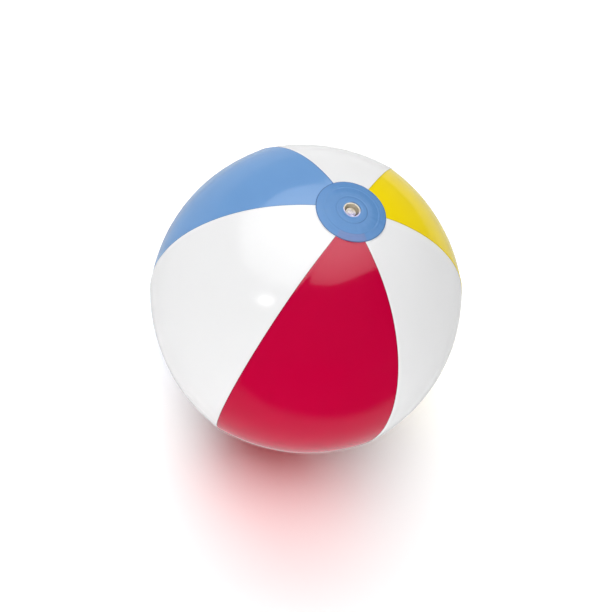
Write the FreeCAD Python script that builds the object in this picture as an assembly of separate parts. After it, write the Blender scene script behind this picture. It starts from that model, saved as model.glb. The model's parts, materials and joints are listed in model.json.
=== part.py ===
import FreeCAD, Part
import math
import os

# Inflatable six-panel ball with a push-in air valve.
# Millimetres. The origin is the centre of the ball and +Z runs along the polar axis to the valve.

# Film
ball_radius = 194.0
film = 0.20
panel_count = 6
panel_angle = 360.0 / panel_count
lap_angle = 1.06
lap_root_angle = 0.12

# Polar patches, measured as angles down from the pole
patch_angle = 12.2
gore_end_angle = 9.8
lap_end_angle = patch_angle + 0.1
contact_radius = 12.5

# Valve, radii and heights
window_radius = 10.0
flange_radius = 17.5
flange_thickness = 0.8
wall_radius_top = 8.9
wall_radius_foot = 6.9
wall_thickness = 0.4
rim_depth = 4.75
rim_z = ball_radius - rim_depth
stem_height = 15.0
stem_radius = 5.2
bore_radius = 3.5
collar_radius = 5.8
collar_height = 1.2
foot_radius = 7.0
foot_thickness = 0.8
edge_round = 0.25

# Plug, its strap and the check flap
running_gap = 0.05
hinge_reach = 6.4
strap_width = 3.6
strap_thickness = 0.6
ear_width = 4.4
head_radius = 4.2
head_thickness = 1.0
knob_radius = 1.6
knob_height = 0.7
stopper_length = 4.0
stopper_tip_radius = 2.5
flap_radius = 4.6
flap_reach = 4.9
flap_thickness = 0.5
flap_tab_width = 3.0

patch_outer = ball_radius + film
foot_z = rim_z - stem_height
foot_top_z = foot_z + foot_thickness

z_axis = FreeCAD.Vector(0, 0, 1)
centre = FreeCAD.Vector(0, 0, 0)

# Panels in order round the ball, each with the angle of its middle about +Z
gore_middles = [
    ("gore_red", 270.0),
    ("gore_white_right", 330.0),
    ("gore_yellow", 30.0),
    ("gore_white_back", 90.0),
    ("gore_blue", 150.0),
    ("gore_white_left", 210.0),
]


def point(radius, z):
    """A point of a profile in the XZ plane."""
    return FreeCAD.Vector(radius, 0, z)


def on_sphere(radius, angle):
    """The profile point on a sphere at an angle down from the valve pole."""
    turn = math.radians(angle)
    return point(radius * math.sin(turn), radius * math.cos(turn))


def height_on_sphere(sphere_radius, radius):
    """The height of a sphere above the centre at a distance from the polar axis."""
    return math.sqrt(sphere_radius ** 2 - radius ** 2)


def angle_at(sphere_radius, radius):
    """The polar angle of a sphere's point at a distance from the polar axis."""
    return math.degrees(math.asin(radius / sphere_radius))


def meridian(radius, start, end):
    """An arc of a meridian from one polar angle to another."""
    middle = on_sphere(radius, (start + end) / 2)
    return Part.Arc(on_sphere(radius, start), middle, on_sphere(radius, end)).toShape()


def spun(edges, angle=360.0):
    """The solid swept by a closed profile about the polar axis."""
    face = Part.Face(Part.Wire(Part.__sortEdges__(edges)))
    return face.revolve(centre, z_axis, angle)


def spun_outline(points):
    """The solid swept by a straight-sided outline."""
    return spun(Part.makePolygon(points + points[:1]).Edges)


def shell_band(inner, outer, start, end, angle=360.0):
    """Part of a thin spherical shell between two polar angles."""
    edges = [
        meridian(outer, start, end),
        Part.makeLine(on_sphere(outer, end), on_sphere(inner, end)),
        meridian(inner, start, end),
        Part.makeLine(on_sphere(inner, start), on_sphere(outer, start)),
    ]
    return spun(edges, angle)


def turned(shape, angle):
    """A copy of a shape turned about the polar axis."""
    copy = shape.copy()
    copy.rotate(centre, z_axis, angle)
    return copy


def lap_strip():
    """The welded edge that lies on top of the next panel, before the angle 0."""
    band = shell_band(
        ball_radius, patch_outer, lap_end_angle, 180.0 - lap_end_angle, lap_angle + lap_root_angle
    )
    return turned(band, -lap_angle)


def gore(middle):
    """One panel: a lune of film with a lap strip along its first edge."""
    lune = shell_band(
        ball_radius - film, ball_radius, gore_end_angle, 180.0 - gore_end_angle, panel_angle
    )
    panel = lune.fuse(lap_strip()).removeSplitter()
    return turned(panel, middle - panel_angle / 2)


def valve_end_patch():
    """The round cover over the panel ends, with a window for the valve."""
    outer_window = angle_at(patch_outer, window_radius)
    inner_window = angle_at(ball_radius, window_radius)
    return spun([
        meridian(patch_outer, outer_window, patch_angle),
        Part.makeLine(on_sphere(patch_outer, patch_angle), on_sphere(ball_radius, patch_angle)),
        meridian(ball_radius, inner_window, patch_angle),
        Part.makeLine(on_sphere(ball_radius, inner_window), on_sphere(patch_outer, outer_window)),
    ])


def base_patch():
    """The closed cover at the other pole, flattened where the ball stands on it."""
    outer_flat_z = -height_on_sphere(patch_outer, contact_radius)
    inner_flat_z = outer_flat_z + film
    inner_flat_radius = height_on_sphere(ball_radius, inner_flat_z)
    outer_angle = 180.0 - angle_at(patch_outer, contact_radius)
    inner_angle = 180.0 - angle_at(ball_radius, inner_flat_radius)
    rim_angle = 180.0 - patch_angle
    edges = [
        meridian(patch_outer, rim_angle, outer_angle),
        Part.makeLine(on_sphere(patch_outer, outer_angle), point(0, outer_flat_z)),
        Part.makeLine(point(0, outer_flat_z), point(0, inner_flat_z)),
        Part.makeLine(point(0, inner_flat_z), on_sphere(ball_radius, inner_angle)),
        meridian(ball_radius, rim_angle, inner_angle),
        Part.makeLine(on_sphere(ball_radius, rim_angle), on_sphere(patch_outer, rim_angle)),
    ]
    return spun(edges)


def valve_flange():
    """The valve's ring, welded to the inside of the patch round its window."""
    upper = ball_radius
    lower = ball_radius - flange_thickness
    top_edge = [angle_at(upper, radius) for radius in (wall_radius_top, flange_radius)]
    low_edge = [angle_at(lower, radius) for radius in (wall_radius_top, flange_radius)]
    return spun([
        meridian(upper, top_edge[0], top_edge[1]),
        Part.makeLine(on_sphere(upper, top_edge[1]), on_sphere(lower, low_edge[1])),
        meridian(lower, low_edge[0], low_edge[1]),
        Part.makeLine(on_sphere(lower, low_edge[0]), on_sphere(upper, top_edge[0])),
    ])


def valve_rolling_wall():
    """The thin sleeve that lets the stem roll in and out of the ball."""
    top_z = height_on_sphere(ball_radius, wall_radius_top)
    shoulder_z = top_z - flange_thickness
    return spun_outline([
        point(wall_radius_top, top_z),
        point(wall_radius_top, shoulder_z),
        point(wall_radius_foot, foot_top_z),
        point(wall_radius_foot - wall_thickness, foot_top_z),
        point(wall_radius_top - wall_thickness, shoulder_z),
        point(wall_radius_top - wall_thickness, top_z),
    ])


def valve_stem():
    """The blowing tube: a rim collar with an ear, a barrel and a foot ring."""
    tube = spun_outline([
        point(bore_radius, rim_z),
        point(collar_radius - edge_round, rim_z),
        point(collar_radius, rim_z - edge_round),
        point(collar_radius, rim_z - collar_height),
        point(stem_radius, rim_z - collar_height - (collar_radius - stem_radius)),
        point(stem_radius, foot_top_z),
        point(foot_radius, foot_top_z),
        point(foot_radius, foot_z),
        point(bore_radius, foot_z),
    ])
    ear_length = hinge_reach - stem_radius
    ear = Part.makeBox(
        ear_width, ear_length, collar_height,
        FreeCAD.Vector(-ear_width / 2, -hinge_reach, rim_z - collar_height)
    )
    return tube.fuse(ear).removeSplitter()


def valve_plug():
    """The plug: a flat head with a finger knob, and a tapered stopper below it."""
    head_z = rim_z + running_gap
    knob_z = head_z + head_thickness
    return spun_outline([
        point(0, knob_z + knob_height),
        point(knob_radius - edge_round, knob_z + knob_height),
        point(knob_radius, knob_z + knob_height - edge_round),
        point(knob_radius, knob_z),
        point(head_radius - edge_round, knob_z),
        point(head_radius, knob_z - edge_round),
        point(head_radius, head_z),
        point(bore_radius - running_gap, head_z),
        point(stopper_tip_radius, head_z - stopper_length),
        point(0, head_z - stopper_length),
    ])


def plug_tether():
    """The strap from the living hinge on the stem's ear to the plug's head."""
    strap = Part.makeBox(
        strap_width, hinge_reach - head_radius / 2, strap_thickness,
        FreeCAD.Vector(-strap_width / 2, -hinge_reach, rim_z + running_gap)
    )
    head = Part.makeCylinder(head_radius, 4 * head_thickness, point(0, rim_z - head_thickness))
    return strap.cut(head)


def check_flap():
    """The flap under the stem's foot that keeps the air in, with its hinge tab."""
    flap_z = foot_z - running_gap - flap_thickness
    disc = Part.makeCylinder(flap_radius, flap_thickness, point(0, flap_z))
    tab = Part.makeBox(
        flap_tab_width, flap_reach, flap_thickness,
        FreeCAD.Vector(-flap_tab_width / 2, 0, flap_z)
    )
    return disc.fuse(tab).removeSplitter()


def export(name, shape):
    """Write one piece to its own file."""
    shape.exportStep("parts/" + name + ".step")


os.makedirs("parts", exist_ok=True)
for gore_name, gore_middle in gore_middles:
    export(gore_name, gore(gore_middle))
export("valve_end_patch", valve_end_patch())
export("base_patch", base_patch())
export("valve_flange", valve_flange())
export("valve_rolling_wall", valve_rolling_wall())
export("valve_stem", valve_stem())
export("valve_plug", valve_plug())
export("plug_tether", plug_tether())
export("check_flap", check_flap())
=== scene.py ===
import json
import math

import bmesh
import bpy
from mathutils import Matrix, Vector, noise

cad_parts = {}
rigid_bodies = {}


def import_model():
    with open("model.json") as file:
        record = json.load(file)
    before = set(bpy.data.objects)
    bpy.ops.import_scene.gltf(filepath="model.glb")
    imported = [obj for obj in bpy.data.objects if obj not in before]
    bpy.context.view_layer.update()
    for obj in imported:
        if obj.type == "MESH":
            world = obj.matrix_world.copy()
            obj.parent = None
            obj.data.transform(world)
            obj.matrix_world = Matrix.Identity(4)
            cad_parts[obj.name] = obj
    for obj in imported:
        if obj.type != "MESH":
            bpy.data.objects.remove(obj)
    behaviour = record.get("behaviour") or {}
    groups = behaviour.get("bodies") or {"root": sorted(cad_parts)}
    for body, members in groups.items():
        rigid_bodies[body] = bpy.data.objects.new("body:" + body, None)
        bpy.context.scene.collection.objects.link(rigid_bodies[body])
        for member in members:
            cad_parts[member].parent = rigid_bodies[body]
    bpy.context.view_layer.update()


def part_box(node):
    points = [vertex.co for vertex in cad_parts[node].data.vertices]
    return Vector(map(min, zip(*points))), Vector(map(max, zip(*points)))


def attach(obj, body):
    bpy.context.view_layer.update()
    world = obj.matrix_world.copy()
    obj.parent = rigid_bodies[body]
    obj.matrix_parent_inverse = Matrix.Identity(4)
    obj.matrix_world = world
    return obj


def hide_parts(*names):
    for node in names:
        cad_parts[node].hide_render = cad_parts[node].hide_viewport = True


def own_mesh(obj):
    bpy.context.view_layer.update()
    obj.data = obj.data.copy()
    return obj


# Looks of the inflatable ball, in metres. The origin is the ball's centre and +Z runs to the valve.

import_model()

MM = 0.001

# Driving sizes, read from the frame where a piece's box gives them
red_low, red_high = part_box("gore_red")
_, patch_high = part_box("valve_end_patch")
base_low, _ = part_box("base_patch")
_, flange_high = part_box("valve_flange")
wall_low, wall_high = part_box("valve_rolling_wall")
stem_low, stem_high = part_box("valve_stem")
plug_low, plug_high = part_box("valve_plug")
strap_low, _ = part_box("plug_tether")
flap_low, flap_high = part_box("check_flap")

film = 0.2 * MM
ball_radius = -red_low.y
gore_end = math.acos(red_high.z / (ball_radius - film))
tip_radius = ball_radius * math.sin(gore_end)
patch_radius = patch_high.x
patch_edge = math.asin(patch_radius / ball_radius)
flange_radius = flange_high.x
wall_radius = wall_high.x
foot_radius = stem_high.x
rim_z = stem_high.z
floor_z = base_low.z
window_radius = 10.0 * MM

# Panel shape
PANEL_DEGREES = 60.0
PANEL_TURN = math.radians(PANEL_DEGREES)
HALF_TURN = PANEL_TURN / 2
FLATNESS = 0.11
LAP_TURN = math.radians(1.06)
LAP_RAISE = 0.24 * MM
LAP_FADE = 7.0 * MM
LAP_END_FADE = 0.012
SWELL = 0.22 * MM
PUCKER = 0.11 * MM
PUCKER_REACH = 9.0 * MM
LAP_COLUMNS = (1.0, 0.86, 0.5, 0.12)
POLAR_STEPS = 220
ACROSS_STEPS = 44
EDGE_CROWDING = 0.45

# Each panel's name, the angle of its middle about +Z in degrees, and its material
panels = [
    ("red", 270.0, "film_red"),
    ("white_right", 330.0, "film_white"),
    ("yellow", 30.0, "film_yellow"),
    ("white_back", 90.0, "film_white"),
    ("blue", 150.0, "film_blue"),
    ("white_left", 210.0, "film_white"),
]


# ---------------------------------------------------------------- materials

PATCH_BLUE = (0.108, 0.262, 0.56)
PATCH_DEEP = (0.101, 0.248, 0.54)
TIP_SHADE = (0.21, 0.20, 0.40)
# Colour of the painted shade and shadow on the patch
PATCH_PAINTED_SHADE = (0.035, 0.075, 0.20)
# Width of the painted shade along each lap's cut edge at a weld
WELD_SHADE_WIDTH = 0.9 * MM


def new_material(name):
    """An empty node material with its output and shader."""
    material = bpy.data.materials.new(name)
    material.use_nodes = True
    nodes = material.node_tree.nodes
    nodes.clear()
    output = nodes.new("ShaderNodeOutputMaterial")
    shader = nodes.new("ShaderNodeBsdfPrincipled")
    material.node_tree.links.new(shader.outputs["BSDF"], output.inputs["Surface"])
    return material, shader


def add_node(material, kind, **values):
    """A node with its plain properties set."""
    node = material.node_tree.nodes.new(kind)
    for key, value in values.items():
        setattr(node, key, value)
    return node


def link(material, source, target):
    """Feed one node's output to another's input."""
    material.node_tree.links.new(source, target)


def vinyl(name, colour, deep, roughness=0.10, specular=0.2, subsurface=0.3):
    """Glossy soft film: a base colour that drifts very slightly over the surface."""
    material, shader = new_material(name)
    place = add_node(material, "ShaderNodeTexCoord")
    cloud = add_node(material, "ShaderNodeTexNoise")
    cloud.inputs["Scale"].default_value = 7.0
    cloud.inputs["Detail"].default_value = 2.0
    mix = add_node(material, "ShaderNodeMix", data_type="RGBA")
    mix.inputs[6].default_value = (*colour, 1.0)
    mix.inputs[7].default_value = (*deep, 1.0)
    link(material, place.outputs["Object"], cloud.inputs["Vector"])
    link(material, cloud.outputs["Fac"], mix.inputs[0])
    link(material, mix.outputs[2], shader.inputs["Base Color"])
    shader.inputs["Roughness"].default_value = roughness
    shader.inputs["Specular IOR Level"].default_value = specular
    shader.inputs["IOR"].default_value = 1.45
    shader.inputs["Subsurface Weight"].default_value = subsurface
    shader.inputs["Subsurface Radius"].default_value = (1.0, 1.0, 1.0)
    shader.inputs["Subsurface Scale"].default_value = 0.004
    return material


def map_range(material, source, low, high, from_value=0.0, to_value=1.0):
    """A smooth ramp of a value between two limits."""
    ramp = add_node(material, "ShaderNodeMapRange", interpolation_type="SMOOTHSTEP")
    ramp.inputs["From Min"].default_value = low
    ramp.inputs["From Max"].default_value = high
    ramp.inputs["To Min"].default_value = from_value
    ramp.inputs["To Max"].default_value = to_value
    link(material, source, ramp.inputs["Value"])
    return ramp.outputs["Result"]


def product(material, first, second):
    """One value times another."""
    node = add_node(material, "ShaderNodeMath", operation="MULTIPLY")
    link(material, first, node.inputs[0])
    link(material, second, node.inputs[1])
    return node.outputs["Value"]


def tint(material, shader, factor, colour):
    """Mix a colour into what already feeds the shader's base colour."""
    mix = add_node(material, "ShaderNodeMix", data_type="RGBA")
    mix.inputs[7].default_value = (*colour, 1.0)
    link(material, factor, mix.inputs[0])
    link(material, shader.inputs["Base Color"].links[0].from_socket, mix.inputs[6])
    link(material, mix.outputs[2], shader.inputs["Base Color"])


def welded_vinyl(name, colour, deep, weld_painted_shade):
    """Panel film with a fine line of painted shade along its welds, where a lap's cut edge shades the film
    under it.
    """
    material = vinyl(name, colour, deep)
    shader = material.node_tree.nodes["Principled BSDF"]
    mark = add_node(material, "ShaderNodeAttribute", attribute_name="weld_distance")
    # Painted shade: the colour darkens towards the weld shade within this width of the lap's cut edge
    line = map_range(material, mark.outputs["Fac"], WELD_SHADE_WIDTH * 0.6, WELD_SHADE_WIDTH * 1.4, 0.75, 0.0)
    tint(material, shader, line, weld_painted_shade)
    return material


def side_of(material, aim, degrees, low, high, floor_share=0.0):
    """A share that is 1 on the side of a piece that faces one way round the pole."""
    facing = add_node(material, "ShaderNodeVectorMath", operation="DOT_PRODUCT")
    turn = math.radians(degrees)
    facing.inputs[1].default_value = (math.cos(turn), math.sin(turn), 0.0)
    link(material, aim.outputs["Vector"], facing.inputs[0])
    return map_range(material, facing.outputs["Value"], low, high, floor_share, 1.0)


def patch_vinyl(name):
    """The patch's blue: the red tip showing through, and painted shade at the rim, in the crease round the
    flange's edge on one side, and as a shadow on one side of the window's edge.
    """
    material = vinyl(name, PATCH_BLUE, PATCH_DEEP, roughness=0.2, specular=0.08)
    shader = material.node_tree.nodes["Principled BSDF"]
    place = add_node(material, "ShaderNodeTexCoord")
    flat = add_node(material, "ShaderNodeVectorMath", operation="MULTIPLY")
    flat.inputs[1].default_value = (1.0, 1.0, 0.0)
    reach = add_node(material, "ShaderNodeVectorMath", operation="LENGTH")
    aim = add_node(material, "ShaderNodeVectorMath", operation="NORMALIZE")
    link(material, place.outputs["Object"], flat.inputs[0])
    link(material, flat.outputs["Vector"], reach.inputs[0])
    link(material, flat.outputs["Vector"], aim.inputs[0])
    distance = reach.outputs["Value"]

    over_tip = map_range(material, distance, tip_radius - 0.6 * MM, tip_radius + 0.6 * MM, 0.0, 0.42)
    red_side = side_of(material, aim, 270.0, 0.880, 0.925)
    tint(material, shader, product(material, over_tip, red_side), TIP_SHADE)

    # Painted shade: darker along the patch's rim
    rim = map_range(material, distance, patch_radius - 1.3 * MM, patch_radius - 0.5 * MM, 0.0, 0.6)
    tint(material, shader, rim, PATCH_PAINTED_SHADE)

    # Painted shade: the crease round the flange's edge, darker on one side
    ring_in = map_range(material, distance, flange_radius - 0.2 * MM, flange_radius + 0.4 * MM)
    ring_out = map_range(material, distance, flange_radius + 0.4 * MM, flange_radius + 1.3 * MM, 0.55, 0.0)
    ring = product(material, ring_in, ring_out)
    crease_shade_side = side_of(material, aim, -25.0, 0.3, 0.95, 0.25)
    tint(material, shader, product(material, ring, crease_shade_side), PATCH_PAINTED_SHADE)

    # Painted shadow: the window's edge, darker on one side
    edge = map_range(material, distance, window_radius + 0.4 * MM, window_radius + 1.4 * MM, 0.8, 0.0)
    window_shadow_side = side_of(material, aim, 48.0, 0.45, 0.85)
    tint(material, shader, product(material, edge, window_shadow_side), PATCH_PAINTED_SHADE)
    return material


def clear_vinyl(name, warm, cool, transmission=0.4, roughness=0.10):
    """Soft clear moulding, slightly milky, with painted glints: its colour is warm on one side and cool on
    the other.
    """
    material, shader = new_material(name)
    place = add_node(material, "ShaderNodeTexCoord")
    split = add_node(material, "ShaderNodeSeparateXYZ")
    cloud = add_node(material, "ShaderNodeTexNoise")
    cloud.inputs["Scale"].default_value = 320.0
    cloud.inputs["Detail"].default_value = 1.0
    wobble = add_node(material, "ShaderNodeMath", operation="MULTIPLY_ADD")
    wobble.inputs[1].default_value = 10.0 * MM
    mix = add_node(material, "ShaderNodeMix", data_type="RGBA")
    mix.inputs[6].default_value = (*cool, 1.0)
    mix.inputs[7].default_value = (*warm, 1.0)
    link(material, place.outputs["Object"], split.inputs["Vector"])
    link(material, place.outputs["Object"], cloud.inputs["Vector"])
    link(material, cloud.outputs["Fac"], wobble.inputs[0])
    link(material, split.outputs["Y"], wobble.inputs[2])
    # Painted glints: cool towards -Y and warm towards +Y, with a noisy boundary
    share = map_range(material, wobble.outputs["Value"], 1.0 * MM, 8.0 * MM)
    link(material, share, mix.inputs[0])
    link(material, mix.outputs[2], shader.inputs["Base Color"])
    shader.inputs["Roughness"].default_value = roughness
    shader.inputs["IOR"].default_value = 1.52
    shader.inputs["Transmission Weight"].default_value = transmission
    return material


# ---------------------------------------------------------------- mesh helpers

def new_object(name, material):
    """An empty mesh object in the scene with one material."""
    mesh = bpy.data.meshes.new(name)
    obj = bpy.data.objects.new(name, mesh)
    bpy.context.scene.collection.objects.link(obj)
    mesh.materials.append(material)
    return obj


def smooth(obj, angle=40.0):
    """Smooth shading that keeps real edges crisp."""
    for face in obj.data.polygons:
        face.use_smooth = True
    obj.data.set_sharp_from_angle(angle=math.radians(angle))


def grid_faces(mesh_data, rows, columns, closed=False):
    """Quads over rows of vertices; closed joins the last column to the first."""
    last = columns if closed else columns - 1
    for row in range(rows - 1):
        for column in range(last):
            after = (column + 1) % columns
            mesh_data.faces.new((
                mesh_data.verts[row * columns + column],
                mesh_data.verts[row * columns + after],
                mesh_data.verts[(row + 1) * columns + after],
                mesh_data.verts[(row + 1) * columns + column],
            ))


def grid_object(name, rows_of_points, material, closed=False):
    """A surface through rows of points."""
    obj = new_object(name, material)
    data = bmesh.new()
    for row in rows_of_points:
        for place in row:
            data.verts.new(place)
    data.verts.ensure_lookup_table()
    grid_faces(data, len(rows_of_points), len(rows_of_points[0]), closed)
    bmesh.ops.recalc_face_normals(data, faces=data.faces)
    data.to_mesh(obj.data)
    data.free()
    return obj


def thicken(obj, thickness):
    """Give a film its thickness, inwards from its outer face."""
    solid = obj.modifiers.new("film", "SOLIDIFY")
    solid.thickness = thickness
    solid.offset = -1.0
    solid.use_even_offset = True


def softstep(value):
    """0 below 0, 1 above 1 and a smooth rise between."""
    value = min(max(value, 0.0), 1.0)
    return value * value * (3.0 - 2.0 * value)


def swell(direction):
    """The slow unevenness of blown-up film, the same on every piece."""
    return SWELL * noise.noise(direction * 5.0)


def panel_radius(polar, off_middle):
    """The film's radius: the welded seams stand a little prouder than the panel middles."""
    weight = FLATNESS * math.sin(polar)
    chord = math.cos(HALF_TURN) / math.cos(off_middle)
    return ball_radius * ((1.0 - weight) + weight * chord)


def pucker(polar, seam_distance, seed):
    """Short wrinkles that run in from a weld and die out."""
    along = polar * ball_radius
    wave = noise.noise(Vector((along * 95.0, seed * 7.3, 0.0)))
    return PUCKER * wave * math.exp(-seam_distance / PUCKER_REACH)


def on_ball(radius, polar, turn):
    """The point at a radius, an angle down from the valve pole and an angle about +Z."""
    return Vector((
        radius * math.sin(polar) * math.cos(turn),
        radius * math.sin(polar) * math.sin(turn),
        radius * math.cos(polar),
    ))


# ---------------------------------------------------------------- panels

# The red panel's tip is narrower at the valve end than the other tips: how far each of its two
# welds, given by its angle in degrees, turns towards the panel's middle there
TIP_DRIFT = {240: math.radians(4.2), 300: math.radians(-6.5)}
TIP_FADE = math.radians(9.5)


def weld_turn(degrees, polar):
    """The angle about +Z of the weld that nominally runs at some degrees."""
    past_patch = max(polar - patch_edge, 0.0)
    drift = TIP_DRIFT.get(round(degrees) % 360, 0.0)
    return math.radians(degrees) + drift * math.exp(-past_patch / TIP_FADE)


def panel(name, middle_degrees, material, seed):
    """One panel of film, with the strip along its first edge lapped over the next panel."""
    rows = []
    weld_distances = []
    for step in range(POLAR_STEPS + 1):
        polar = gore_end + (math.pi - 2 * gore_end) * step / POLAR_STEPS
        ring = ball_radius * math.sin(polar)
        first_weld = weld_turn(middle_degrees - PANEL_DEGREES / 2, polar)
        second_weld = weld_turn(middle_degrees + PANEL_DEGREES / 2, polar)
        from_patch = min(polar, math.pi - polar) - patch_edge
        lap_here = softstep(from_patch / LAP_END_FADE + 0.6)
        row = []
        for side in LAP_COLUMNS:
            off = HALF_TURN - LAP_TURN * side
            radius = panel_radius(polar, off) + LAP_RAISE * lap_here
            turn = first_weld - LAP_TURN * side
            radius += pucker(polar, LAP_TURN * side * ring, seed)
            direction = on_ball(1.0, polar, turn)
            row.append(direction * (radius + swell(direction)))
            weld_distances.append((1.0 - side) * LAP_TURN * ring)
        for column in range(ACROSS_STEPS + 1):
            share = column / ACROSS_STEPS
            eased = 0.5 - 0.5 * math.cos(math.pi * share)
            mixed = (1.0 - EDGE_CROWDING) * share + EDGE_CROWDING * eased
            off = -HALF_TURN + PANEL_TURN * mixed
            turn = first_weld + (second_weld - first_weld) * mixed
            first = (off + HALF_TURN) * ring
            second = (HALF_TURN - off) * ring
            radius = panel_radius(polar, off)
            radius += LAP_RAISE * lap_here * softstep(1.0 - first / LAP_FADE)
            radius += pucker(polar, first, seed) + pucker(polar, second, seed + 1)
            direction = on_ball(1.0, polar, turn)
            row.append(direction * (radius + swell(direction)))
            weld_distances.append(min(first + LAP_TURN * ring, second - LAP_TURN * ring))
        rows.append(row)
    obj = grid_object("panel_" + name, rows, material)
    mark = obj.data.attributes.new("weld_distance", "FLOAT", "POINT")
    mark.data.foreach_set("value", weld_distances)
    smooth(obj, 60.0)
    thicken(obj, film)
    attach(obj, "ball")
    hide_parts("gore_" + name)
    return obj


# ---------------------------------------------------------------- polar patches

# Heights of the patch's relief, and how wide its ring-shaped features are
PATCH_GAP = 0.12 * MM
TIP_STEP = 0.20 * MM
TIP_STEP_WIDTH = 1.4 * MM
RING_WAVE = 0.09 * MM
RIPPLE = 0.26 * MM
RIM_DROP = 0.20 * MM
BULGE = 0.42 * MM
BULGE_WIDTH = 4.6 * MM
CREASE = 0.30 * MM
CREASE_WIDTH = 0.9 * MM
CREASE_OFFSET = 0.5 * MM
WINDOW_DIP = 0.40 * MM
WINDOW_DIP_OFFSET = 2.0 * MM
WINDOW_DIP_WIDTH = 3.0 * MM


def patch_height(reach, turn, seed, with_valve):
    """How far the patch stands off the ball's plain sphere at a distance from the pole."""
    share = reach / patch_radius
    height = film + PATCH_GAP
    height += TIP_STEP * softstep((reach - tip_radius) / TIP_STEP_WIDTH + 0.5)
    ring_wave = math.cos((share - 0.70) * 70.0) * math.exp(-((share - 0.80) / 0.07) ** 2)
    height += RING_WAVE * ring_wave
    ripple = noise.noise(Vector((math.cos(turn) * 5.5, math.sin(turn) * 5.5, seed + share * 0.8)))
    height += RIPPLE * ripple * softstep((share - 0.35) / 0.4)
    height -= RIM_DROP * softstep((share - 0.975) / 0.025)
    if with_valve:
        bulge = (reach - 0.5 * (flange_radius + tip_radius)) / BULGE_WIDTH
        height += BULGE * math.exp(-bulge ** 2)
        crease = (reach - flange_radius - CREASE_OFFSET) / CREASE_WIDTH
        height -= CREASE * math.exp(-crease ** 2)
        height -= WINDOW_DIP * softstep(0.5 - (reach - window_radius - WINDOW_DIP_OFFSET) / WINDOW_DIP_WIDTH)
    return height


def patch_rows(seed, inner, with_valve, upward):
    """Rings of points from the patch's inner edge to its rim."""
    rings = 72
    around = 240
    rows = []
    for ring in range(rings + 1):
        reach = inner + (patch_radius - inner) * ring / rings
        polar = math.asin(reach / ball_radius)
        row = []
        for step in range(around):
            turn = 2 * math.pi * step / around
            direction = on_ball(1.0, polar, turn)
            if not upward:
                direction.z = -direction.z
            radius = ball_radius + patch_height(reach, turn, seed, with_valve)
            place = direction * (radius + swell(direction))
            if not upward:
                place.z = max(place.z, floor_z)
            row.append(place)
        rows.append(row)
    return rows


def valve_patch(material):
    """The round cover over the panel ends at the valve."""
    rows = patch_rows(3.0, window_radius, True, True)
    lip = []
    for place in rows[0]:
        inward = Vector((place.x, place.y, 0.0)).normalized()
        lip.append(place - inward * 0.15 * MM - Vector((0.0, 0.0, 0.35 * MM)))
    obj = grid_object("patch_valve_end", [lip] + rows, material, True)
    smooth(obj, 60.0)
    thicken(obj, film)
    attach(obj, "ball")
    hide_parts("valve_end_patch")
    return obj


def plain_patch(material):
    """The closed cover at the pole that the ball stands on."""
    rows = patch_rows(8.0, 0.4 * MM, False, False)
    obj = grid_object("patch_base", rows, material, True)
    data = bmesh.new()
    data.from_mesh(obj.data)
    data.verts.ensure_lookup_table()
    around = len(rows[0])
    data.faces.new([data.verts[index] for index in range(around)])
    bmesh.ops.recalc_face_normals(data, faces=data.faces)
    data.to_mesh(obj.data)
    data.free()
    smooth(obj, 60.0)
    thicken(obj, film)
    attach(obj, "ball")
    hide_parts("base_patch")
    return obj


# ---------------------------------------------------------------- valve

# Sizes inside the valve that no piece's box gives
BORE_RADIUS = 3.5 * MM
TUBE_RADIUS = 5.2 * MM
COLLAR_RADIUS = 5.8 * MM
COLLAR_HEIGHT = 1.2 * MM
COLLAR_TAPER_END = 2.0 * MM
FOOT_THICKNESS = 0.8 * MM
EAR_HALF_WIDTH = 2.2 * MM
EAR_ROOT = 4.6 * MM
RING_TOP_DEPTH = 0.45 * MM
RING_BOTTOM_DEPTH = 1.1 * MM
WALL_THICKNESS = 0.4 * MM
WALL_TAPER = 2.0 * MM
WALL_BULGE = 0.25 * MM
STRAP_HALF_WIDTH = 1.8 * MM
STRAP_THICKNESS = 0.6 * MM
STRAP_ARCH = 0.28 * MM
STRAP_WAIST = 0.12
STRAP_OVERLAP = 0.35 * MM
RUNNING_GAP = 0.05 * MM
TAB_HALF_WIDTH = 1.5 * MM
TAB_ROOT = 3.6 * MM


def rounded_profile(points, radius=0.25 * MM, steps=3):
    """The closed outline of a turned piece with its corners rounded."""
    rounded = []
    count = len(points)
    for index in range(count):
        here = Vector(points[index])
        before = Vector(points[index - 1])
        after = Vector(points[(index + 1) % count])
        if here.x < 1e-6:
            rounded.append(here)
            continue
        to_before = before - here
        to_after = after - here
        cut = min(radius, to_before.length * 0.45, to_after.length * 0.45)
        start = here + to_before.normalized() * cut
        end = here + to_after.normalized() * cut
        for step in range(steps + 1):
            share = step / steps
            one = start.lerp(here, share)
            two = here.lerp(end, share)
            rounded.append(one.lerp(two, share))
    return rounded


def turned_object(name, outline, material, around=96, radius=0.25 * MM):
    """A solid of revolution about +Z from a closed outline of (radius, height) points."""
    outline = rounded_profile(outline, radius)
    rows = []
    for place in outline + outline[:1]:
        row = []
        for step in range(around):
            turn = 2 * math.pi * step / around
            row.append(Vector((place.x * math.cos(turn), place.x * math.sin(turn), place.y)))
        rows.append(row)
    obj = grid_object(name, rows, material, True)
    data = bmesh.new()
    data.from_mesh(obj.data)
    bmesh.ops.remove_doubles(data, verts=data.verts, dist=1e-7)
    bmesh.ops.recalc_face_normals(data, faces=data.faces)
    data.to_mesh(obj.data)
    data.free()
    smooth(obj)
    return obj


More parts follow.
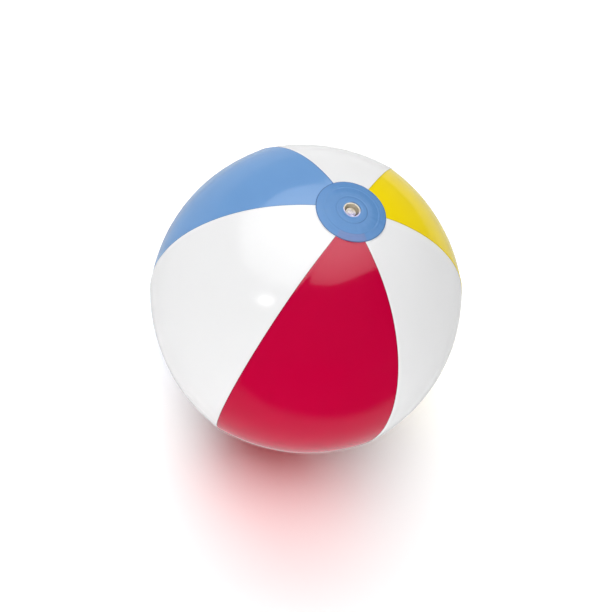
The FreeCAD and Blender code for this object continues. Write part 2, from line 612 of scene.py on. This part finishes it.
def add_block(obj, low, high, bevel):
    """Add a soft-edged block to a piece's mesh."""
    data = bmesh.new()
    data.from_mesh(obj.data)
    made = bmesh.ops.create_cube(data, size=1.0)
    centre = (Vector(low) + Vector(high)) / 2
    size = Vector(high) - Vector(low)
    for vert in made["verts"]:
        vert.co = Vector((vert.co.x * size.x, vert.co.y * size.y, vert.co.z * size.z)) + centre
    edges = {edge for vert in made["verts"] for edge in vert.link_edges}
    bmesh.ops.bevel(data, geom=list(edges), offset=bevel, segments=3, affect="EDGES")
    data.to_mesh(obj.data)
    data.free()
    smooth(obj)


def flange_piece(material):
    """The ring under the patch, with the inner lip that shows in the window."""
    top = flange_high.z
    edge_z = math.sqrt(ball_radius ** 2 - flange_radius ** 2)
    outline = [
        (wall_radius, top - RING_TOP_DEPTH),
        (flange_radius, edge_z - RING_TOP_DEPTH),
        (flange_radius, edge_z - RING_BOTTOM_DEPTH),
        (wall_radius, top - RING_BOTTOM_DEPTH),
    ]
    obj = turned_object("valve_ring", outline, material)
    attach(obj, "ball")
    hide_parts("valve_flange")
    return obj


def rolling_wall_piece(material):
    """The thin sleeve from the ring down to the stem's foot, in a soft curve."""
    top = wall_high.z
    depth = wall_high.z - wall_low.z
    steps = 22
    outer = []
    inner = []
    for step in range(steps + 1):
        share = step / steps
        width = wall_radius - WALL_TAPER * softstep(share * 1.1)
        bulge = WALL_BULGE * math.sin(math.pi * share)
        height = top - RING_TOP_DEPTH - (depth - 0.5 * MM) * share
        outer.append((width + bulge, height))
        inner.append((width + bulge - WALL_THICKNESS, height))
    outline = outer + inner[::-1]
    obj = turned_object("valve_sleeve", outline, material, radius=0.05 * MM)
    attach(obj, "ball")
    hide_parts("valve_rolling_wall")
    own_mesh(obj)
    return obj


def stem_piece(material):
    """The blowing tube with its rim collar, ear and foot ring."""
    foot_z = stem_low.z
    outline = [
        (BORE_RADIUS, rim_z),
        (COLLAR_RADIUS, rim_z),
        (COLLAR_RADIUS, rim_z - COLLAR_HEIGHT),
        (TUBE_RADIUS, rim_z - COLLAR_TAPER_END),
        (TUBE_RADIUS, foot_z + FOOT_THICKNESS),
        (foot_radius, foot_z + FOOT_THICKNESS),
        (foot_radius, foot_z),
        (BORE_RADIUS, foot_z),
    ]
    obj = turned_object("valve_tube", outline, material)
    ear_low = (-EAR_HALF_WIDTH, strap_low.y, rim_z - COLLAR_HEIGHT)
    ear_high = (EAR_HALF_WIDTH, -EAR_ROOT, rim_z)
    add_block(obj, ear_low, ear_high, 0.3 * MM)
    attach(obj, "stem")
    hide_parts("valve_stem")
    return obj


def plug_piece(material):
    """The plug: head, domed finger knob and tapered stopper."""
    head_z = rim_z + RUNNING_GAP
    head = plug_high.x
    knob_z = plug_high.z
    outline = [
        (0.0, knob_z),
        (0.7 * MM, knob_z - 0.04 * MM),
        (1.3 * MM, knob_z - 0.22 * MM),
        (1.6 * MM, knob_z - 0.5 * MM),
        (1.75 * MM, head_z + 1.0 * MM),
        (head - 0.5 * MM, head_z + 0.9 * MM),
        (head, head_z + 0.55 * MM),
        (head, head_z),
        (3.4 * MM, head_z),
        (2.5 * MM, plug_low.z),
        (0.0, plug_low.z),
    ]
    obj = turned_object("valve_stopper", outline, material, radius=0.2 * MM)
    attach(obj, "plug")
    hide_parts("valve_plug")
    return obj


def strap_piece(material):
    """The strap that ties the plug to the stem, arched a little."""
    steps = 16
    base = strap_low.z
    start = strap_low.y
    end = -(plug_high.x - STRAP_OVERLAP)
    rows = []
    for step in range(steps + 1):
        share = step / steps
        y = start + (end - start) * share
        arch = STRAP_ARCH * math.sin(math.pi * share)
        waist = STRAP_HALF_WIDTH * (1.0 - STRAP_WAIST * math.sin(math.pi * share))
        row = []
        for x, z in ((-1.0, 0.0), (1.0, 0.0), (1.0, 1.0), (-1.0, 1.0)):
            row.append(Vector((x * waist, y, base + arch + z * STRAP_THICKNESS)))
        rows.append(row)
    obj = grid_object("valve_strap", rows, material, True)
    data = bmesh.new()
    data.from_mesh(obj.data)
    data.verts.ensure_lookup_table()
    last = len(data.verts)
    data.faces.new([data.verts[index] for index in (0, 1, 2, 3)])
    data.faces.new([data.verts[index] for index in (last - 4, last - 3, last - 2, last - 1)])
    bmesh.ops.recalc_face_normals(data, faces=data.faces)
    data.to_mesh(obj.data)
    data.free()
    bevel = obj.modifiers.new("soft", "BEVEL")
    bevel.width = 0.15 * MM
    bevel.segments = 3
    smooth(obj)
    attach(obj, "plug")
    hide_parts("plug_tether")
    return obj


def flap_piece(material):
    """The thin flap under the stem's foot, with its hinge tab."""
    low = flap_low.z
    high = flap_high.z
    radius = flap_high.x
    outline = [(0.0, high), (radius, high), (radius, low), (0.0, low)]
    obj = turned_object("valve_flap", outline, material, radius=0.12 * MM)
    add_block(obj, (-TAB_HALF_WIDTH, TAB_ROOT, low), (TAB_HALF_WIDTH, flap_high.y, high), 0.12 * MM)
    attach(obj, "flap")
    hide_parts("check_flap")
    return obj


# ---------------------------------------------------------------- camera, floor and light

# The camera looks down on the valve end, with the polar axis leaning right in the picture
pole = Vector((0.0, 0.0, 1.0))
AZIMUTH = math.radians(-22.8)
ELEVATION = math.radians(54.8)
ROLL = math.radians(27.25)
CAMERA_DISTANCE = 7.0 * ball_radius
LENS = 63.7
SHIFT_UP = -0.0112
FLOOR_REACH = 60.0
CARD_REACH = 6.0
CARD_GLOW = 0.68
CARD_DROP = 2.0 * MM
CARD_FADE_START = 2.2 * ball_radius
CARD_FADE_END = 3.2 * ball_radius
NEAR_LAMPS = 1.6
FILL_LAMPS = 2.4
SKY_SPREAD = math.radians(62.0)


def camera_axes():
    """The picture's right, up and towards-the-viewer directions."""
    back = Vector((
        math.sin(AZIMUTH) * math.cos(ELEVATION),
        -math.cos(AZIMUTH) * math.cos(ELEVATION),
        math.sin(ELEVATION),
    ))
    level = pole.cross(back).normalized()
    upright = back.cross(level)
    right = level * math.cos(ROLL) + upright * math.sin(ROLL)
    up = upright * math.cos(ROLL) - level * math.sin(ROLL)
    return right, up, back


def place_camera():
    """The camera, looking at the ball's centre along the picture's axes."""
    right, up, back = camera_axes()
    camera_data = bpy.data.cameras.new("camera")
    camera = bpy.data.objects.new("camera", camera_data)
    bpy.context.scene.collection.objects.link(camera)
    camera_data.sensor_width = 36.0
    camera_data.lens = LENS
    camera_data.shift_x = 0.0
    camera_data.shift_y = SHIFT_UP
    camera_data.clip_start = 0.01
    turn = camera.matrix_world.to_3x3()
    turn.col[0] = right
    turn.col[1] = up
    turn.col[2] = back
    matrix = turn.to_4x4()
    matrix.translation = back * CAMERA_DISTANCE
    camera.matrix_world = matrix
    bpy.context.scene.camera = camera


def in_picture(direction):
    """The direction with the given shares of the picture's right, up and towards-the-viewer."""
    right, up, back = camera_axes()
    return right * direction[0] + up * direction[1] + back * direction[2]


def area_lamp(name, width, height, power):
    """A rectangular lamp, not yet placed."""
    data = bpy.data.lights.new(name, "AREA")
    data.shape = "RECTANGLE"
    data.size = width
    data.size_y = height
    data.energy = power
    lamp = bpy.data.objects.new(name, data)
    bpy.context.scene.collection.objects.link(lamp)
    return lamp


def soft_light(name, direction, distance, width, height, power):
    """A rectangular lamp placed by its direction in the picture's axes, aimed at the ball."""
    right, up, back = camera_axes()
    place = in_picture(direction).normalized() * distance
    lamp = area_lamp(name, width, height, power)
    facing = place.normalized()
    side = up.cross(facing)
    if side.length < 1e-3:
        side = right.copy()
    side.normalize()
    over = facing.cross(side)
    turn = lamp.matrix_world.to_3x3()
    turn.col[0] = side
    turn.col[1] = over
    turn.col[2] = facing
    matrix = turn.to_4x4()
    matrix.translation = place
    lamp.matrix_world = matrix
    return lamp


def flat_sheet(name, material, height, reach):
    """A large level square in the set, at one height."""
    mesh = bpy.data.meshes.new(name)
    sheet = bpy.data.objects.new(name, mesh)
    bpy.context.scene.collection.objects.link(sheet)
    mesh.materials.append(material)
    data = bmesh.new()
    corners = [(-reach, -reach), (reach, -reach), (reach, reach), (-reach, reach)]
    data.faces.new([data.verts.new((x, y, height)) for x, y in corners])
    data.to_mesh(mesh)
    data.free()
    sheet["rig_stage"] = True
    return sheet


def lay_floor():
    """A plain pale floor, and below it the card that the glossy film mirrors instead.

    The card is calmer than the floor and goes dark beyond a distance on the front side.
    """
    pale, shader = new_material("floor_pale")
    shader.inputs["Base Color"].default_value = (0.95, 0.95, 0.95, 1.0)
    shader.inputs["Roughness"].default_value = 0.9
    shader.inputs["Specular IOR Level"].default_value = 0.1
    floor = flat_sheet("floor", pale, floor_z, FLOOR_REACH)
    floor.visible_glossy = False
    grey, shader = new_material("card_grey")
    shader.inputs["Base Color"].default_value = (0.0, 0.0, 0.0, 1.0)
    shader.inputs["Specular IOR Level"].default_value = 0.0
    shader.inputs["Emission Color"].default_value = (1.0, 1.0, 1.0, 1.0)
    right, up, back = camera_axes()
    place = add_node(grey, "ShaderNodeTexCoord")
    along = add_node(grey, "ShaderNodeVectorMath", operation="DOT_PRODUCT")
    along.inputs[1].default_value = (pole * up.dot(pole) - up).normalized()
    link(grey, place.outputs["Object"], along.inputs[0])
    reach = along.outputs["Value"]
    glow = map_range(grey, reach, CARD_FADE_START, CARD_FADE_END, CARD_GLOW, 0.1 * CARD_GLOW)
    link(grey, glow, shader.inputs["Emission Strength"])
    card = flat_sheet("reflection_card", grey, floor_z - CARD_DROP, CARD_REACH)
    card.visible_camera = False
    card.visible_diffuse = False
    card.visible_transmission = False
    card.visible_shadow = False


def soften_lamp(lamp, edge_share):
    """A round lamp that is brightest in the middle and falls to a share of that at its edge."""
    lamp.data.shape = "ELLIPSE"
    lamp.data.use_nodes = True
    tree = lamp.data.node_tree
    emission = tree.nodes["Emission"]
    place = tree.nodes.new("ShaderNodeNewGeometry")
    offset = tree.nodes.new("ShaderNodeVectorMath")
    offset.operation = "DISTANCE"
    offset.inputs[1].default_value = (0.5, 0.5, 0.0)
    fade = tree.nodes.new("ShaderNodeMapRange")
    fade.inputs["From Min"].default_value = 0.0
    fade.inputs["From Max"].default_value = 0.5
    fade.inputs["To Min"].default_value = 1.0
    fade.inputs["To Max"].default_value = edge_share
    tree.links.new(place.outputs["Parametric"], offset.inputs[0])
    tree.links.new(offset.outputs["Value"], fade.inputs["Value"])
    tree.links.new(fade.outputs["Result"], emission.inputs["Strength"])


def glow_floor(receivers):
    """The red light that the lit panel throws onto the floor in front of the ball."""
    glow = area_lamp("film_glow", 0.20, 0.20, 0.07)
    glow.matrix_world = Matrix.Translation(in_picture((-0.05, -1.02, -0.10)) * ball_radius)
    glow.data.color = (1.0, 0.25, 0.25)
    glow.data.use_shadow = False
    glow.visible_camera = False
    glow.visible_glossy = False
    glow.light_linking.receiver_collection = receivers


def sky_lamp(name, direction, strength, shadow, receivers):
    """Even light from above, so that the floor stays pale to the horizon."""
    data = bpy.data.lights.new(name, "SUN")
    data.energy = strength
    data.angle = SKY_SPREAD
    data.use_shadow = shadow
    lamp = bpy.data.objects.new(name, data)
    bpy.context.scene.collection.objects.link(lamp)
    lamp.matrix_world = in_picture(direction).to_track_quat("Z", "Y").to_matrix().to_4x4()
    lamp.visible_glossy = False
    lamp.light_linking.receiver_collection = receivers


def light_world(far_strength, near_strength):
    """Pale surroundings behind the ball and dark ones behind the viewer, seen directly as plain white."""
    right, up, back = camera_axes()
    world = bpy.data.worlds.new("studio")
    world.use_nodes = True
    tree = world.node_tree
    background = tree.nodes["Background"]
    background.inputs["Color"].default_value = (1.0, 1.0, 1.0, 1.0)
    place = tree.nodes.new("ShaderNodeTexCoord")
    along = tree.nodes.new("ShaderNodeVectorMath")
    along.operation = "DOT_PRODUCT"
    along.inputs[1].default_value = back
    fade = tree.nodes.new("ShaderNodeMapRange")
    fade.inputs["From Min"].default_value = -0.4
    fade.inputs["From Max"].default_value = 0.5
    fade.inputs["To Min"].default_value = far_strength
    fade.inputs["To Max"].default_value = near_strength
    tree.links.new(place.outputs["Generated"], along.inputs[0])
    tree.links.new(along.outputs["Value"], fade.inputs["Value"])
    path = tree.nodes.new("ShaderNodeLightPath")
    seen = tree.nodes.new("ShaderNodeMix")
    seen.inputs[3].default_value = 1.0
    tree.links.new(path.outputs["Is Camera Ray"], seen.inputs[0])
    tree.links.new(fade.outputs["Result"], seen.inputs[2])
    tree.links.new(seen.outputs[0], background.inputs["Strength"])
    bpy.context.scene.world = world


def light_ball_and_floor():
    """The studio's lamps: most reach either the ball or the floor, and two only give reflections."""
    ball_only = bpy.data.collections.new("ball_only")
    floor_only = bpy.data.collections.new("floor_only")
    for piece in list(bpy.context.scene.objects):
        if piece.type == "MESH":
            receivers = floor_only if "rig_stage" in piece else ball_only
            receivers.objects.link(piece)
    overhead = soft_light("overhead", (0.05, 0.97, 0.25), NEAR_LAMPS, 2.2, 1.5, 24.0)
    overhead.visible_glossy = False
    shine = soft_light("shine", (0.03, 0.719, 0.694), NEAR_LAMPS, 3.3, 2.6, 240.0)
    shine.visible_diffuse = False
    soften_lamp(shine, 0.30)
    spark = soft_light("spark", (-0.50, 0.02, 0.865), NEAR_LAMPS, 0.46, 0.24, 7.5)
    spark.visible_diffuse = False
    soften_lamp(spark, 0.0)
    sky_lamp("floor_key", (0.02, 0.66, 0.78), 2.45, True, floor_only)
    sky_lamp("floor_lift", (0.264, 0.512, 0.817), 0.42, False, floor_only)
    for name, direction, size, power in (
        ("fill", (0.0, -0.10, 0.99), 4.6, 95.0),
        ("low_fill_right", (0.75, -0.55, 0.35), 1.8, 15.0),
        ("low_fill_left", (-0.70, -0.55, 0.45), 1.8, 20.0),
    ):
        lamp = soft_light(name, direction, FILL_LAMPS, size, size, power)
        lamp.visible_glossy = False
        lamp.light_linking.receiver_collection = ball_only
    glow_floor(floor_only)


# ---------------------------------------------------------------- build

# Each film's colour, its slightly deeper drift colour and, for the coloured films, the colour of the painted
# shade along their welds
film_materials = {
    "film_red": welded_vinyl("film_red", (0.545, 0.0, 0.038), (0.50, 0.0, 0.034), (0.16, 0.0, 0.03)),
    "film_blue": welded_vinyl("film_blue", (0.150, 0.325, 0.655), (0.142, 0.310, 0.635), (0.06, 0.14, 0.36)),
    "film_yellow": welded_vinyl("film_yellow", (0.98, 0.73, 0.0), (0.97, 0.71, 0.0), (0.55, 0.40, 0.0)),
    "film_white": vinyl("film_white", (0.91, 0.91, 0.915), (0.90, 0.90, 0.907)),
}
patch_material = patch_vinyl("patch_blue")
# The valve's clear vinyl, with painted warm and cool glints
valve_material = clear_vinyl("valve_clear", (0.82, 0.74, 0.58), (0.54, 0.52, 0.76))

for index, (panel_name, panel_middle, panel_slot) in enumerate(panels):
    panel(panel_name, panel_middle, film_materials[panel_slot], index + 1)
valve_patch(patch_material)
plain_patch(patch_material)
flange_piece(valve_material)
rolling_wall_piece(valve_material)
stem_piece(valve_material)
plug_piece(valve_material)
strap_piece(valve_material)
flap_piece(valve_material)

lay_floor()
light_world(0.25, 0.06)
light_ball_and_floor()
place_camera()
bpy.context.scene.view_settings.view_transform = "Standard"
